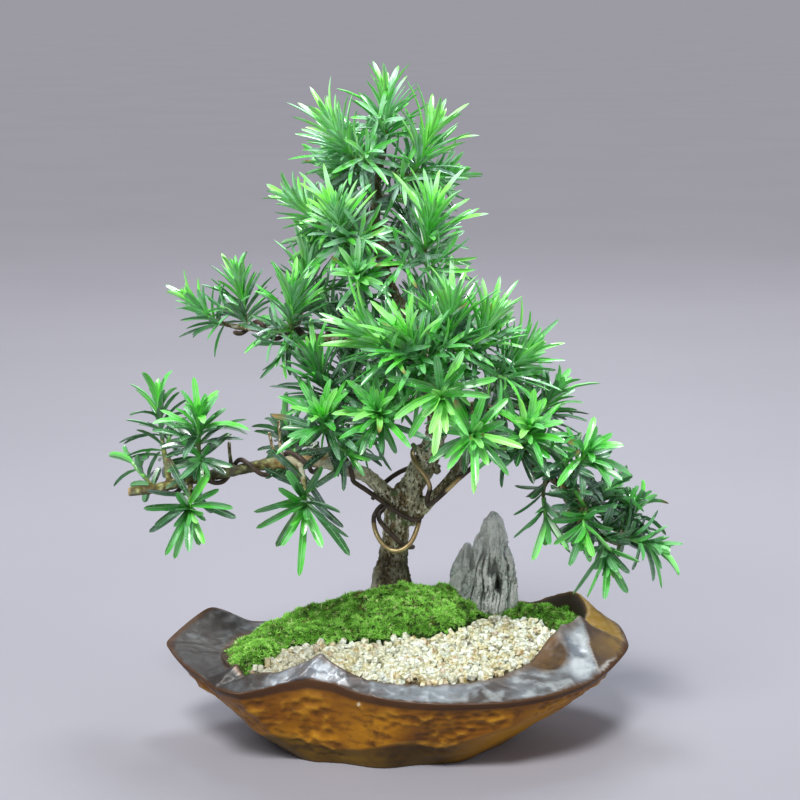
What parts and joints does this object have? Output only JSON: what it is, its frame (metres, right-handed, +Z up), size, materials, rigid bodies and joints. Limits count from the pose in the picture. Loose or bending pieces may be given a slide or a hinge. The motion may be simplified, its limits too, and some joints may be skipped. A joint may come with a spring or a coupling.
{
  "type": "buddhist pine bonsai",
  "caption": "Small trained buddhist pine with narrow leaves in whorls, in an oval carved pot with moss, pale gravel and a standing stone.",
  "frame": {"origin": "middle of the pot's flat foot, on the surface that it stands on", "axes": "+Z up, -Y towards the tree's front, +X to the right as seen from the front, along the pot's length"},
  "size_m": [0.3261, 0.1892, 0.3698],
  "materials": {
    "glaze": "glazed stoneware, brown and ochre outside, silvery brown on the rim",
    "earth": "damp potting soil",
    "moss": "living cushion moss",
    "gravel": "fine pale stone gravel",
    "stone": "rough weathered grey stone",
    "bark": "rough living bark",
    "wire": "brown anodised training wire",
    "leaf": "living leaves, glossy above"
  },
  "bodies": {
    "root": {"apex_left": "leaf", "apex_right": "leaf", "apex_top": "leaf", "bough_back": "leaf", "bough_under": "leaf", "bough_up": "leaf", "breast_left": "leaf", "cascade_back": "leaf", "cascade_crown": "leaf", "cascade_end": "leaf", "cascade_fan": "leaf", "cascade_low": "leaf", "cascade_side": "leaf", "cascade_sprig": "leaf", "cascade_tip": "leaf", "cascade_under": "leaf", "collar_back": "leaf", "collar_left": "leaf", "crown_front_left": "leaf", "crown_front_right": "leaf", "crown_inner_left": "leaf", "crown_left": "leaf", "crown_right": "leaf", "fan_inner": "leaf", "fan_outer": "leaf", "gravel": "gravel", "hand_left": "leaf", "hand_tip": "leaf", "hand_under": "leaf", "hand_up": "leaf", "heart_front": "leaf", "heart_right": "leaf", "heart_up": "leaf", "moss": "moss", "pad_back": "leaf", "pad_front": "leaf", "pad_left": "leaf", "pad_tip": "leaf", "pot": "glaze", "rear_crown_left": "leaf", "rear_crown_right": "leaf", "rear_heart": "leaf", "rear_left": "leaf", "rear_low": "leaf", "rear_right": "leaf", "shoulder_right": "leaf", "skirt_front": "leaf", "soil": "earth", "stone": "stone", "trunk_and_branches": "bark", "waist_front": "leaf", "waist_left": "leaf", "wire_left": "wire", "wire_right": "wire", "wire_upper": "wire"}
  },
  "joints": []
}
